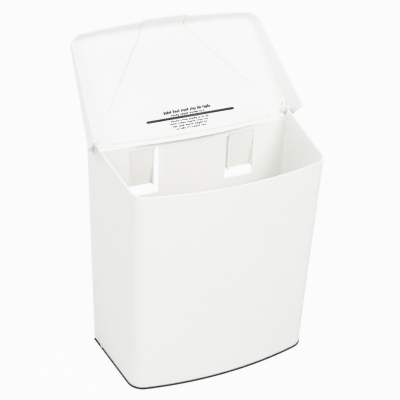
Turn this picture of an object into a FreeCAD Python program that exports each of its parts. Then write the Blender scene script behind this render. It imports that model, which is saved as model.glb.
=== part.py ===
import FreeCAD, Part
import math
import os

import Sketcher

# Wall-hung waste receptacle with a hinged lid, in millimetres.
# The origin is on the table under the middle of the base, +Z is up, the front faces -Y, and the
# plane y = rear_reach is the wall that the receptacle hangs on.  The lid is drawn open.

SIZES = {
    # body: outline at the rim level and at the base
    "rear_height": 298.6,           # height of the side walls at the wall
    "rear_reach": 60,               # from the origin back to the wall
    "rear_width": 260,
    "side_draft": 2.1,              # each side comes in by this much from the rim to the base
    "front_reach": 81.2,            # from the origin forward to the tip of the front bow
    "front_draft": 10.1,            # the same for the front
    "side_taper": 4.3,              # degrees, how far each side leans in towards the front
    "bow_radius": 520,
    "base_bow_radius": 465,
    "corner_radius": 15.5,
    "base_corner_radius": 21,
    "rim_slope": 9.8,               # degrees, the rim falls towards the front
    "wall": 2.2,
    "floor_thickness": 2.6,
    # rear panel and its hanging pockets
    "panel_depth": 16,              # from the wall forward to the inner face of the rear panel
    "panel_crest": 5,               # how far the middle of its top edge is below its ends
    "pocket_inner": 45,             # from the middle plane
    "pocket_width": 38.5,
    "pocket_drop": 3.7,             # from the panel's top edge down to the window
    "pocket_height": 61,
    "tongue_gap": 9,                # open slot under the tongue
    "tongue_side_gap": 4.6,         # open slot beside the tongue
    "tongue_setback": 8,            # how far its lower end stands behind the panel
    "rib_setback": 3,               # from the wall forward to the rib behind the tongue's inner edge
    "rib_slant": 10,                # how far that rib's rear edge ends below the window's head
    # lid, in its own frame: x across, y towards the wall, z out of its top, origin on the hinge
    "lid_wall": 2.1,
    "lid_side_gap": 3.4,            # between the skirt and the body's side wall at the rear
    "lid_front_gap": 6.5,           # between the closed lid's front skirt and the rim
    "lid_bow_radius": 1010,
    "lid_corner_radius": 17,
    "lid_taper": 5.2,               # degrees
    "lid_rear_end": 9,              # how far the skirts run behind the hinge
    "lip_depth": 14.6,              # the same for the middle of the arched rear lip
    "lip_inset": 23.5,              # from the lid's side in to the end of the rear lip
    "lip_gap": 0.8,                 # between the lip, as it swings past, and the rear panel
    "rim_gap": 0.6,                 # between the closed lid's underside and the rim
    "crown_slope": 2,               # degrees, the middle facet rises towards the front
    "facet_inset": 12.5,            # the side facets start this far from the lid's side
    "crease_half_width": 28,        # and meet the middle facet here at the front
    "skirt_rear": 29.5,             # skirt below the hinge line, at the hinge
    "skirt_rise": 8.9,              # degrees, the free edge comes up towards the front
    "tab_half_width": 28,
    "tab_drop": 5,                  # how far the grip tab hangs below the skirt
    "open_angle": 46.6,             # degrees, the open lid above the horizontal, leaning back
    # hinge
    "hinge_setback": 14,            # from the wall forward to the pin
    "hinge_drop": 3.7,              # below the rim, square to it
    "pin_diameter": 4,
    "pin_head_diameter": 6.6,
    "pin_head_thickness": 1.5,
    "pin_head_gap": 0.3,            # between the head and the lug
    "pin_clearance": 0.06,          # radial, in the lid's two bores
    "lug_radius": 4.6,
    "lug_thickness": 2.4,
    "ear_half": 6,                  # the body's ear runs this far to each side of the pin
    "ear_proud": 0.4,               # and stands this proud of the side wall's two faces
    "lug_gap": 1.6,                 # between the lug and the body's side wall
    "boss_gap": 0.9,                # between the skirt's boss and the body's side wall
    "boss_radius": 4.2,
    "pin_cover": 1.3,               # skin left over the end of the pin's blind bore
    "pin_end_gap": 0.3,             # between the pin and the end of that bore
    "slot_gap": 1,                  # beside the side wall, where it passes through the open lid
    "stop_gap": 0.35,               # from the end of that slot to the side wall's rear corner
}

doc = FreeCAD.newDocument("receptacle")
sheet = doc.addObject("Spreadsheet::Sheet", "Sizes")
for row, (alias, number) in enumerate(SIZES.items(), start=1):
    sheet.set(f"A{row}", alias)
    sheet.set(f"B{row}", str(number))
    sheet.setAlias(f"B{row}", alias)
doc.recompute()


def sheet_terms(expression):
    """Puts the sheet's name before every alias in an expression."""
    words = []
    word = ""
    for letter in expression + " ":
        if letter.isalnum() or letter == "_":
            word += letter
            continue
        if word:
            words.append(f"Sizes.{word}" if word in ALIASES else word)
            word = ""
        words.append(letter)
    return "".join(words).strip()


ALIASES = set(SIZES)


def value(expression):
    """The number that an expression of sheet aliases gives now."""
    return float(sheet.evalExpression(sheet_terms(expression)))


def bind(thing, path, expression):
    """Ties a property or a sketch constraint to an expression of sheet aliases."""
    thing.setExpression(path, sheet_terms(expression))


def derive(alias, expression):
    """Adds a worked-out size to the sheet, so that other sizes can use its name."""
    row = len(ALIASES) + 1
    sheet.set(f"A{row}", alias)
    sheet.set(f"B{row}", "=" + expression)
    sheet.setAlias(f"B{row}", alias)
    ALIASES.add(alias)
    doc.recompute()


derive("side_fall", "tan(side_taper * 1 deg)")
derive("rim_fall", "tan(rim_slope * 1 deg)")
derive("lid_side_fall", "tan(lid_taper * 1 deg)")
derive("crown_rise", "tan(crown_slope * 1 deg)")
derive("skirt_climb", "tan(skirt_rise * 1 deg)")
derive("side_wall", "wall / cos(side_taper * 1 deg)")
derive("lid_side_wall", "lid_wall / cos(lid_taper * 1 deg)")
derive("base_rear_width", "rear_width - 2 * side_draft")
derive("base_front_reach", "front_reach - front_draft")
derive("panel_front", "rear_reach - panel_depth")
derive("panel_back", "panel_front + wall")
derive("hinge_y", "rear_reach - hinge_setback")
derive("hinge_z", "rear_height - hinge_setback * rim_fall - hinge_drop / cos(rim_slope * 1 deg)")
derive("underside", "hinge_drop + rim_gap")
derive("top_face", "underside + lid_wall")
derive("rim_length", "(hinge_y + front_reach) / cos(rim_slope * 1 deg) - hinge_drop * rim_fall")
derive("lid_rear_width", "rear_width + 2 * (lid_side_gap + lid_wall)")
derive("lid_reach", "rim_length + lid_front_gap + lid_wall")
derive("facet_half_width", "lid_rear_width / 2 - facet_inset")
derive("lip_half_width", "lid_rear_width / 2 - lip_inset")
derive("side_at_hinge", "rear_width / 2 - hinge_setback * side_fall")
derive("lid_inner_at_hinge", "lid_rear_width / 2 - lid_side_wall - lid_rear_end * lid_side_fall")
derive("lug_outer", "side_at_hinge - side_wall - lug_gap")
derive("lug_inner", "lug_outer - lug_thickness")
derive("boss_inner", "side_at_hinge + boss_gap")
derive("bore_end", "lid_inner_at_hinge + lid_side_wall - pin_cover")
derive("pin_end", "bore_end - pin_end_gap")
derive("pin_start", "lug_inner - pin_head_gap - pin_head_thickness")
derive("lip_sweep", "sqrt(lip_depth ^ 2 + top_face ^ 2)")
derive("panel_head", "hinge_z - lip_sweep - lip_gap")
derive("pocket_head", "panel_head - pocket_drop")
derive("pocket_foot", "pocket_head - pocket_height")
derive("pocket_outer", "pocket_inner + pocket_width")
derive("tongue_inner", "pocket_inner + tongue_side_gap")
derive("facet_fall", "crown_rise * lid_reach / (facet_half_width - crease_half_width)")


def plane(body, role):
    """One of a body's own origin planes."""
    for item in body.Origin.OriginFeatures:
        if item.Role == role:
            return item
    raise RuntimeError(role)


def new_body(name):
    return doc.addObject("PartDesign::Body", name)


def new_sketch(body, name, role, offset="0"):
    """A sketch on one of the body's own planes, moved along the plane's normal."""
    sketch = body.newObject("Sketcher::SketchObject", name)
    sketch.AttachmentSupport = [(plane(body, role), "")]
    sketch.MapMode = "FlatFace"
    bind(sketch, ".AttachmentOffset.Base.z", offset)
    return sketch


def point(x, y):
    return FreeCAD.Vector(x, y, 0)


def fix(sketch, kind, *where, size=None):
    """Adds a constraint; with a size, its value follows that expression of sheet aliases."""
    if size is None:
        sketch.addConstraint(Sketcher.Constraint(kind, *where))
        return
    number = value(size)
    if kind == "Angle":
        number = math.radians(number)
    index = sketch.addConstraint(Sketcher.Constraint(kind, *where, number))
    unit = " * 1 deg" if kind == "Angle" else ""
    bind(sketch, f"Constraints[{index}]", f"({size}){unit}")


START, END, CENTRE = 1, 2, 3
UP = FreeCAD.Vector(0, 0, 1)
ORIGIN = (-1, 1)
HORIZONTAL_AXIS = -1
VERTICAL_AXIS = -2


def bowed_outline(sketch, rear, half, taper, corner, bow, reach):
    """Plan outline: straight rear, tapering sides, rounded corners and a bowed front.

    Each size is an expression: rear the straight end's y, half its half width, taper the sides'
    lean in degrees, corner and bow the radii, and reach how far the bow's tip is in front.
    """
    y_rear = value(rear)
    x_rear = value(half)
    lean = math.radians(value(taper))
    small = value(corner)
    large = value(bow)
    y_bow = -value(reach) + large
    along = FreeCAD.Vector(-math.sin(lean), -math.cos(lean), 0)
    inward = FreeCAD.Vector(-math.cos(lean), math.sin(lean), 0)
    start = point(x_rear, y_rear) + inward * small
    from_bow = start - point(0, y_bow)
    half_b = from_bow.dot(along)
    run = -half_b + math.sqrt(half_b ** 2 - from_bow.dot(from_bow) + (large - small) ** 2)
    centre = start + along * run
    side_end = centre - inward * small
    turn = math.atan2(centre.y - y_bow, centre.x)
    bow_end = point(large * math.cos(turn), y_bow + large * math.sin(turn))

    def arc(middle, radius, first, last):
        return Part.ArcOfCircle(Part.Circle(middle, UP, radius), first, last)

    def mirrored(place):
        return point(-place.x, place.y)

    pieces = [
        Part.LineSegment(point(-x_rear, y_rear), point(x_rear, y_rear)),
        Part.LineSegment(point(x_rear, y_rear), side_end),
        arc(centre, small, turn, -lean),
        arc(point(0, y_bow), large, math.pi - turn, turn + 2 * math.pi),
        arc(mirrored(centre), small, math.pi + lean, math.pi - turn),
        Part.LineSegment(mirrored(side_end), point(-x_rear, y_rear)),
    ]
    sketch.addGeometry(pieces, False)
    fix(sketch, "Coincident", 0, END, 1, START)
    fix(sketch, "Tangent", 1, END, 2, END)
    fix(sketch, "Tangent", 2, START, 3, END)
    fix(sketch, "Tangent", 3, START, 4, END)
    fix(sketch, "Tangent", 4, START, 5, START)
    fix(sketch, "Coincident", 5, END, 0, START)
    fix(sketch, "Symmetric", 0, START, 0, END, VERTICAL_AXIS)
    fix(sketch, "PointOnObject", 3, CENTRE, VERTICAL_AXIS)
    fix(sketch, "Equal", 2, 4)
    fix(sketch, "DistanceY", *ORIGIN, 0, START, size=rear)
    fix(sketch, "DistanceX", 0, START, 0, END, size=f"2 * ({half})")
    fix(sketch, "Radius", 2, size=corner)
    fix(sketch, "Radius", 3, size=bow)
    fix(sketch, "DistanceY", *ORIGIN, 3, CENTRE, size=f"({bow}) - ({reach})")
    fix(sketch, "Angle", 1, size=f"-90 - ({taper})")
    fix(sketch, "Angle", 5, size=f"90 + ({taper})")


def polygon(sketch, corners):
    """A closed polygon; each corner is a pair of expressions."""
    places = [point(value(x), value(y)) for x, y in corners]
    count = len(places)
    first = sketch.GeometryCount
    edges = [Part.LineSegment(places[i], places[(i + 1) % count]) for i in range(count)]
    sketch.addGeometry(edges, False)
    for i in range(count):
        fix(sketch, "Coincident", first + i, END, first + (i + 1) % count, START)
    for i, (x, y) in enumerate(corners):
        place_point(sketch, first + i, START, x, y)


def place_point(sketch, geometry, which, x, y):
    """Holds one point of a sketch at a pair of expressions."""
    if x == "0":
        fix(sketch, "PointOnObject", geometry, which, VERTICAL_AXIS)
    else:
        fix(sketch, "DistanceX", *ORIGIN, geometry, which, size=x)
    if y == "0":
        fix(sketch, "PointOnObject", geometry, which, HORIZONTAL_AXIS)
    else:
        fix(sketch, "DistanceY", *ORIGIN, geometry, which, size=y)


def circle(sketch, radius, x="0", y="0"):
    """A circle of a given radius round a given place."""
    sketch.addGeometry(Part.Circle(point(value(x), value(y)), UP, value(radius)))
    place_point(sketch, 0, CENTRE, x, y)
    fix(sketch, "Radius", 0, size=radius)


def checked(feature, grows):
    """Recomputes and makes sure that a feature changed its body's volume the right way."""
    before = feature.BaseFeature.Shape.Volume if feature.BaseFeature else 0
    doc.recompute()
    change = feature.Shape.Volume - before
    if abs(change) < 1e-3 or (change > 0) != grows:
        raise RuntimeError(f"{feature.Label} changed the volume by {change:.3f}")
    return feature


def loft(body, kind, name, low, high):
    """A straight-sided loft between two sketches: kind is Additive or Subtractive."""
    feature = body.newObject(f"PartDesign::{kind}Loft", name)
    feature.Profile = low
    feature.Sections = [high]
    feature.Ruled = True
    return checked(feature, kind == "Additive")


def pad(body, name, sketch, length):
    """Pads a sketch by half of the length to each side of its plane."""
    feature = body.newObject("PartDesign::Pad", name)
    feature.Profile = sketch
    feature.SideType = "Symmetric"
    bind(feature, "Length", length)
    return checked(feature, True)


def pocket(body, name, sketch, length):
    """Cuts a sketch out by half of the length to each side of its plane."""
    feature = body.newObject("PartDesign::Pocket", name)
    feature.Profile = sketch
    feature.SideType = "Symmetric"
    bind(feature, "Length", length)
    return checked(feature, False)


def mirror(body, name, features):
    """Repeats features on the other side of the middle plane."""
    feature = body.newObject("PartDesign::Mirrored", name)
    feature.Originals = features
    feature.MirrorPlane = (plane(body, "YZ_Plane"), [""])
    body.Tip = feature
    return checked(feature, True)


# ---------------------------------------------------------------- the body, one moulding
def outside_outline(body, name, height, half, corner, bow, reach):
    """The outside outline, drawn on past the wall plane, where it is trimmed later."""
    sketch = new_sketch(body, name, "XY_Plane", height)
    bowed_outline(sketch, "rear_reach + wall", f"{half} + wall * side_fall", "side_taper",
                  corner, bow, reach)
    return sketch


def inside_outline(body, name, height, half, corner, bow, reach):
    """The outside outline moved in by the wall, and open past the rear."""
    sketch = new_sketch(body, name, "XY_Plane", height)
    bowed_outline(sketch, "rear_reach + 2 * wall", f"{half} - side_wall + 2 * wall * side_fall",
                  "side_taper", f"{corner} - wall", f"{bow} - wall", f"{reach} - wall")
    return sketch


RIM = ("rear_width / 2", "corner_radius", "bow_radius", "front_reach")
BASE = ("base_rear_width / 2", "base_corner_radius", "base_bow_radius", "base_front_reach")

bin_body = new_body("bin_body")
loft(bin_body, "Additive", "outside",
     outside_outline(bin_body, "outside_base", "0", *BASE),
     outside_outline(bin_body, "outside_rim", "rear_height", *RIM))
loft(bin_body, "Subtractive", "inside",
     inside_outline(bin_body, "inside_base", "floor_thickness", *BASE),
     inside_outline(bin_body, "inside_rim", "rear_height", *RIM))

wall_sketch = new_sketch(bin_body, "wall_line", "YZ_Plane")
polygon(wall_sketch, [
    ("rear_reach", "-wall"),
    ("rear_reach + 3 * wall", "-wall"),
    ("rear_reach + 3 * wall", "rear_height + wall"),
    ("rear_reach", "rear_height + wall"),
])
pocket(bin_body, "flat_rear", wall_sketch, "2 * rear_width")
rim_sketch = new_sketch(bin_body, "rim_line", "YZ_Plane")
polygon(rim_sketch, [
    ("rear_reach + wall", "rear_height + wall * rim_fall"),
    ("-front_reach - wall", "rear_height - (rear_reach + front_reach + wall) * rim_fall"),
    ("-front_reach - wall", "rear_height + 2 * wall"),
    ("rear_reach + wall", "rear_height + 2 * wall"),
])
pocket(bin_body, "sloping_rim", rim_sketch, "2 * rear_width")

derive("panel_top_half", "rear_width / 2 - (panel_depth - wall / 2) * side_fall - side_wall / 2")
derive("panel_base_half", "base_rear_width / 2 - (panel_depth - wall / 2) * side_fall - side_wall / 2")
MID_PANEL = "-(panel_front + wall / 2)"
panel_sketch = new_sketch(bin_body, "panel_outline", "XZ_Plane", MID_PANEL)
foot_left = point(-value("panel_base_half"), value("floor_thickness / 2"))
foot_right = point(value("panel_base_half"), value("floor_thickness / 2"))
head_right = point(value("panel_top_half"), value("panel_head + panel_crest"))
head_left = point(-value("panel_top_half"), value("panel_head + panel_crest"))
panel_sketch.addGeometry([
    Part.LineSegment(foot_left, foot_right),
    Part.LineSegment(foot_right, head_right),
    Part.Arc(head_left, point(0, value("panel_head")), head_right),
    Part.LineSegment(head_left, foot_left),
], False)
fix(panel_sketch, "Coincident", 0, END, 1, START)
fix(panel_sketch, "Coincident", 1, END, 2, END)
fix(panel_sketch, "Coincident", 2, START, 3, START)
fix(panel_sketch, "Coincident", 3, END, 0, START)
place_point(panel_sketch, 0, START, "-panel_base_half", "floor_thickness / 2")
place_point(panel_sketch, 0, END, "panel_base_half", "floor_thickness / 2")
place_point(panel_sketch, 1, END, "panel_top_half", "panel_head + panel_crest")
place_point(panel_sketch, 3, START, "-panel_top_half", "panel_head + panel_crest")
fix(panel_sketch, "Radius", 2, size="(panel_top_half ^ 2 + panel_crest ^ 2) / (2 * panel_crest)")
pad(bin_body, "rear_panel", panel_sketch, "wall")

window_sketch = new_sketch(bin_body, "windows", "XZ_Plane", MID_PANEL)
for side in ("", "-"):
    polygon(window_sketch, [
        (f"{side}pocket_inner", "pocket_foot"),
        (f"{side}pocket_outer", "pocket_foot"),
        (f"{side}pocket_outer", "pocket_head"),
        (f"{side}pocket_inner", "pocket_head"),
    ])
pocket(bin_body, "hanging_windows", window_sketch, "3 * wall")

tongue_sketch = new_sketch(bin_body, "tongue_side", "YZ_Plane", "(tongue_inner + pocket_outer) / 2")
polygon(tongue_sketch, [
    ("panel_front", "pocket_head"),
    ("panel_front + tongue_setback", "pocket_foot + tongue_gap"),
    ("panel_back + tongue_setback", "pocket_foot + tongue_gap"),
    ("panel_back", "pocket_head"),
])
tongue = pad(bin_body, "tongue", tongue_sketch, "pocket_outer - tongue_inner")
gusset_sketch = new_sketch(bin_body, "gusset_side", "YZ_Plane", "pocket_outer + wall / 2")
polygon(gusset_sketch, [
    ("panel_back", "pocket_foot + tongue_gap"),
    ("panel_back + tongue_setback", "pocket_foot + tongue_gap"),
    ("panel_back", "pocket_head"),
])
gusset = pad(bin_body, "gusset", gusset_sketch, "wall")
rib_sketch = new_sketch(bin_body, "rib_side", "YZ_Plane", "tongue_inner + wall / 2")
polygon(rib_sketch, [
    ("panel_back", "pocket_foot + tongue_gap"),
    ("rear_reach - rib_setback", "pocket_foot + tongue_gap"),
    ("rear_reach - rib_setback", "pocket_head - rib_slant"),
    ("panel_back", "pocket_head"),
])
rib = pad(bin_body, "rib", rib_sketch, "wall")
mirror(bin_body, "second_tongue", [tongue, gusset, rib])

# each side wall carries its pin in a flat ear let into it at the rim
ear_notch_sketch = new_sketch(bin_body, "ear_notches", "YZ_Plane")
polygon(ear_notch_sketch, [
    ("hinge_y - ear_half", "hinge_z - ear_half"),
    ("hinge_y + ear_half", "hinge_z - ear_half"),
    ("hinge_y + ear_half", "rear_height + wall"),
    ("hinge_y - ear_half", "rear_height + wall"),
])
pocket(bin_body, "room_for_ears", ear_notch_sketch, "2 * rear_width")
ear_sketch = new_sketch(bin_body, "ear_side", "YZ_Plane", "side_at_hinge - side_wall / 2")
circle(ear_sketch, "pin_diameter / 2", "hinge_y", "hinge_z")
polygon(ear_sketch, [
    ("hinge_y - ear_half", "hinge_z - ear_half"),
    ("hinge_y + ear_half", "hinge_z - ear_half"),
    ("hinge_y + ear_half", "rear_height - (hinge_setback - ear_half) * rim_fall"),
    ("hinge_y - ear_half", "rear_height - (hinge_setback + ear_half) * rim_fall"),
])
ear = pad(bin_body, "ear", ear_sketch, "side_wall + 2 * ear_proud")
mirror(bin_body, "second_ear", [ear])


# ---------------------------------------------------------------- the lid, one moulding
def roofed_block(name, rear, half, corner, bow, reach, face, foot):
    """A block of the lid's plan under its three facets: one tilted in the middle, two at the sides."""
    body = new_body(name)
    peak = f"{face} + facet_fall * facet_half_width"
    outline = new_sketch(body, f"{name}_plan", "XY_Plane", f"({peak} + {foot}) / 2")
    bowed_outline(outline, rear, half, "lid_taper", corner, bow, reach)
    pad(body, f"{name}_block", outline, f"{peak} - ({foot})")
    sides = new_sketch(body, f"{name}_side_facets", "XZ_Plane")
    low = f"{face} - facet_fall * (lid_rear_width - facet_half_width)"
    polygon(sides, [
        ("0", peak),
        ("lid_rear_width", low),
        ("lid_rear_width", f"{peak} + wall"),
        ("-lid_rear_width", f"{peak} + wall"),
        ("-lid_rear_width", low),
    ])
    pocket(body, f"{name}_side_cut", sides, "4 * lid_reach")
    middle = new_sketch(body, f"{name}_middle_facet", "YZ_Plane")
    polygon(middle, [
        ("lid_reach", f"{face} - crown_rise * lid_reach"),
        ("-2 * lid_reach", f"{face} + crown_rise * 2 * lid_reach"),
        ("-2 * lid_reach", f"{peak} + lid_reach"),
        ("lid_reach", f"{peak} + lid_reach"),
    ])
    pocket(body, f"{name}_middle_cut", middle, "2 * lid_rear_width")
    return body


lid_outside = roofed_block("lid_outside", "lid_rear_end", "lid_rear_width / 2", "lid_corner_radius",
                           "lid_bow_radius", "lid_reach", "top_face", "-2 * skirt_rear")
lid_inside = roofed_block("lid_inside", "2 * lid_rear_end",
                          "lid_rear_width / 2 - lid_side_wall + lid_rear_end * lid_side_fall",
                          "lid_corner_radius - lid_wall", "lid_bow_radius - lid_wall",
                          "lid_reach - lid_wall", "underside", "-3 * skirt_rear")

lid_trim = new_body("lid_trim")
trim_sketch = new_sketch(lid_trim, "free_edge", "YZ_Plane")
polygon(trim_sketch, [
    ("2 * lid_rear_end", "-skirt_rear - 2 * lid_rear_end * skirt_climb"),
    ("-2 * lid_reach", "-skirt_rear + 2 * lid_reach * skirt_climb"),
    ("-2 * lid_reach", "-4 * skirt_rear"),
    ("2 * lid_rear_end", "-4 * skirt_rear"),
])
pad(lid_trim, "trim", trim_sketch, "2 * lid_rear_width")
tab_sketch = new_sketch(lid_trim, "tab_side", "YZ_Plane")
polygon(tab_sketch, [
    ("-lid_reach / 2", "-skirt_rear + lid_reach / 2 * skirt_climb"),
    ("-2 * lid_reach", "-skirt_rear + 2 * lid_reach * skirt_climb"),
    ("-2 * lid_reach", "-skirt_rear + 2 * lid_reach * skirt_climb - tab_drop"),
    ("-lid_reach / 2", "-skirt_rear + lid_reach / 2 * skirt_climb - tab_drop"),
])
pocket(lid_trim, "room_for_tab", tab_sketch, "2 * tab_half_width")
derive("slot_inner", "side_at_hinge - side_wall - slot_gap")
derive("slot_outer", "rear_width / 2 + slot_gap")
derive("slot_reach", "hinge_setback * cos(open_angle * 1 deg)"
                     " + (rear_height - hinge_z) * sin(open_angle * 1 deg) + stop_gap")
slot_sketch = new_sketch(lid_trim, "slot_side", "YZ_Plane", "(slot_inner + slot_outer) / 2")
polygon(slot_sketch, [
    ("-slot_reach", "0"),
    ("2 * lid_rear_end", "0"),
    ("2 * lid_rear_end", "top_face + lid_wall"),
    ("-slot_reach", "top_face + lid_wall"),
])
slot = pad(lid_trim, "slot", slot_sketch, "slot_outer - slot_inner")
mirror(lid_trim, "second_slot", [slot])

lid_details = new_body("lid_details")
derive("lip_rise", "lip_depth - lid_rear_end")
lip_sketch = new_sketch(lid_details, "lip_plan", "XY_Plane",
                        "underside + lid_wall / 2 - crown_rise * lid_rear_end")
lip_left = point(-value("lip_half_width"), value("lid_rear_end"))
lip_right = point(value("lip_half_width"), value("lid_rear_end"))
lip_sketch.addGeometry([
    Part.Arc(lip_right, point(0, value("lip_depth")), lip_left),
    Part.LineSegment(lip_left, lip_right),
], False)
fix(lip_sketch, "Coincident", 0, END, 1, START)
fix(lip_sketch, "Coincident", 0, START, 1, END)
place_point(lip_sketch, 1, START, "-lip_half_width", "lid_rear_end")
place_point(lip_sketch, 1, END, "lip_half_width", "lid_rear_end")
fix(lip_sketch, "Radius", 0, size="(lip_half_width ^ 2 + lip_rise ^ 2) / (2 * lip_rise)")
pad(lid_details, "rear_lip", lip_sketch, "lid_wall")

lug_sketch = new_sketch(lid_details, "lug_side", "YZ_Plane", "(lug_inner + lug_outer) / 2")
lug_round = Part.ArcOfCircle(Part.Circle(point(0, 0), UP, value("lug_radius")), math.pi, 2 * math.pi)
lug_top = value("underside + lid_wall / 2")
lug_side = value("lug_radius")
lug_sketch.addGeometry([
    lug_round,
    Part.LineSegment(point(lug_side, 0), point(lug_side, lug_top)),
    Part.LineSegment(point(lug_side, lug_top), point(-lug_side, lug_top)),
    Part.LineSegment(point(-lug_side, lug_top), point(-lug_side, 0)),
], False)
fix(lug_sketch, "Coincident", 0, END, 1, START)
fix(lug_sketch, "Coincident", 1, END, 2, START)
fix(lug_sketch, "Coincident", 2, END, 3, START)
fix(lug_sketch, "Coincident", 3, END, 0, START)
place_point(lug_sketch, 0, CENTRE, "0", "0")
place_point(lug_sketch, 0, END, "lug_radius", "0")
place_point(lug_sketch, 1, END, "lug_radius", "underside + lid_wall / 2")
place_point(lug_sketch, 2, END, "-lug_radius", "underside + lid_wall / 2")
fix(lug_sketch, "PointOnObject", 0, START, HORIZONTAL_AXIS)
lug = pad(lid_details, "lug", lug_sketch, "lug_thickness")
derive("boss_outer", "lid_inner_at_hinge + lid_side_wall / 2")
boss_sketch = new_sketch(lid_details, "boss_side", "YZ_Plane", "(boss_inner + boss_outer) / 2")
circle(boss_sketch, "boss_radius")
boss = pad(lid_details, "boss", boss_sketch, "boss_outer - boss_inner")
mirror(lid_details, "second_lug", [lug, boss])

lid_cuts = new_body("lid_cuts")
derive("bore_start", "lug_inner - lug_thickness")
bore_sketch = new_sketch(lid_cuts, "bore", "YZ_Plane", "(bore_start + bore_end) / 2")
circle(bore_sketch, "pin_diameter / 2 + pin_clearance")
bore = pad(lid_cuts, "pin_bore", bore_sketch, "bore_end - bore_start")
mirror(lid_cuts, "second_bore", [bore])


def boolean(kind, name, base, tool):
    thing = doc.addObject(f"Part::{kind}", name)
    thing.Base = base
    thing.Tool = tool
    thing.Refine = True
    return thing


hollow_block = boolean("Cut", "hollow_block", lid_outside, lid_inside)
shell = boolean("Cut", "lid_shell", hollow_block, lid_trim)
dressed_shell = boolean("Fuse", "dressed_shell", shell, lid_details)
lid = boolean("Cut", "lid", dressed_shell, lid_cuts)
lid.Placement = FreeCAD.Placement(FreeCAD.Vector(0, 0, 0), FreeCAD.Rotation(FreeCAD.Vector(1, 0, 0), 180))
bind(lid, ".Placement.Base.y", "hinge_y")
bind(lid, ".Placement.Base.z", "hinge_z")
bind(lid, ".Placement.Rotation.Angle", "(180 + open_angle) * 1 deg")


# ---------------------------------------------------------------- the two hinge pins
def hinge_pin(name, sign):
    """A headed pin that goes in from inside: through the lug and the side wall into the boss."""
    parts = []
    sizes = [("shank", "pin_diameter / 2", "pin_end - pin_start"),
             ("head", "pin_head_diameter / 2", "pin_head_thickness")]
    for part, radius, length in sizes:
        rod = doc.addObject("Part::Cylinder", f"{name}_{part}")
        bind(rod, "Radius", radius)
        bind(rod, "Height", length)
        parts.append(rod)
    pin = boolean("Fuse", name, *parts)
    pin.Placement = FreeCAD.Placement(FreeCAD.Vector(0, 0, 0),
                                      FreeCAD.Rotation(FreeCAD.Vector(0, 1, 0), sign * 90))
    bind(pin, ".Placement.Base.x", f"{sign} * pin_start")
    bind(pin, ".Placement.Base.y", "hinge_y")
    bind(pin, ".Placement.Base.z", "hinge_z")
    return pin


pin_right = hinge_pin("hinge_pin_right", 1)
pin_left = hinge_pin("hinge_pin_left", -1)

doc.recompute()
for thing in doc.Objects:
    if "Invalid" in thing.State or "Error" in thing.State:
        raise RuntimeError(f"{thing.Label}: {thing.State}")

os.makedirs("parts", exist_ok=True)
for thing in (bin_body, lid, pin_left, pin_right):
    shape = thing.Shape
    if shape.isNull() or not shape.isValid() or len(shape.Solids) != 1:
        raise RuntimeError(f"{thing.Label} is not one valid solid")
    shape.exportStep(f"parts/{thing.Label}.step")
    box = shape.BoundBox
    print(f"{thing.Label}: {shape.Volume / 1000:.1f} cm3, x {box.XMin:.1f} to {box.XMax:.1f},"
          f" y {box.YMin:.1f} to {box.YMax:.1f}, z {box.ZMin:.1f} to {box.ZMax:.1f}")
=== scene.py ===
"""Looks of a wall-hung waste bin with its hinged lid open: shell, lid, pins, marking and studio."""

import logging
import math
from dataclasses import dataclass, field
from enum import Enum
from typing import Callable

import bpy
import bmesh
import numpy as np
from mathutils import Matrix, Vector


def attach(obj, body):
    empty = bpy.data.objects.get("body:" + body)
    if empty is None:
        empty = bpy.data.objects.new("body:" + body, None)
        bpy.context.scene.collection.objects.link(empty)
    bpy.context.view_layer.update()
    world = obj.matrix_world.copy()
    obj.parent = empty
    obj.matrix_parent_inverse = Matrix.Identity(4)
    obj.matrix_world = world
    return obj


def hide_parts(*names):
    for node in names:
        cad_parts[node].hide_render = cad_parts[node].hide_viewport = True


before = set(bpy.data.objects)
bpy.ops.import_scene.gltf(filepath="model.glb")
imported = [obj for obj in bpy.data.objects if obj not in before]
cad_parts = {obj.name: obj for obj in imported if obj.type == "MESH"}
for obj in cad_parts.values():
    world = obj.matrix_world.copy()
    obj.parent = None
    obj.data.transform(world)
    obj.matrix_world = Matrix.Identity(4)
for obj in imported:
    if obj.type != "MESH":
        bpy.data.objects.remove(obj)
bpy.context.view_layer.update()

MM = 0.001
FINE_WELD = 0.001
LOG = logging.getLogger("bin")
Colour = tuple[float, float, float]
Point = tuple[float, float, float]
Source = bpy.types.NodeSocket | Colour | float
HINGE_Y = 46.0
HINGE_Z = 292.427


class Body(str, Enum):
    """The two rigid bodies that pieces ride on."""

    BIN = "bin"
    LID = "lid"


class Slot(str, Enum):
    """The record's material slots."""

    BODY = "body_plastic"
    LID = "lid_plastic"
    PIN = "pin_plastic"


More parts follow.
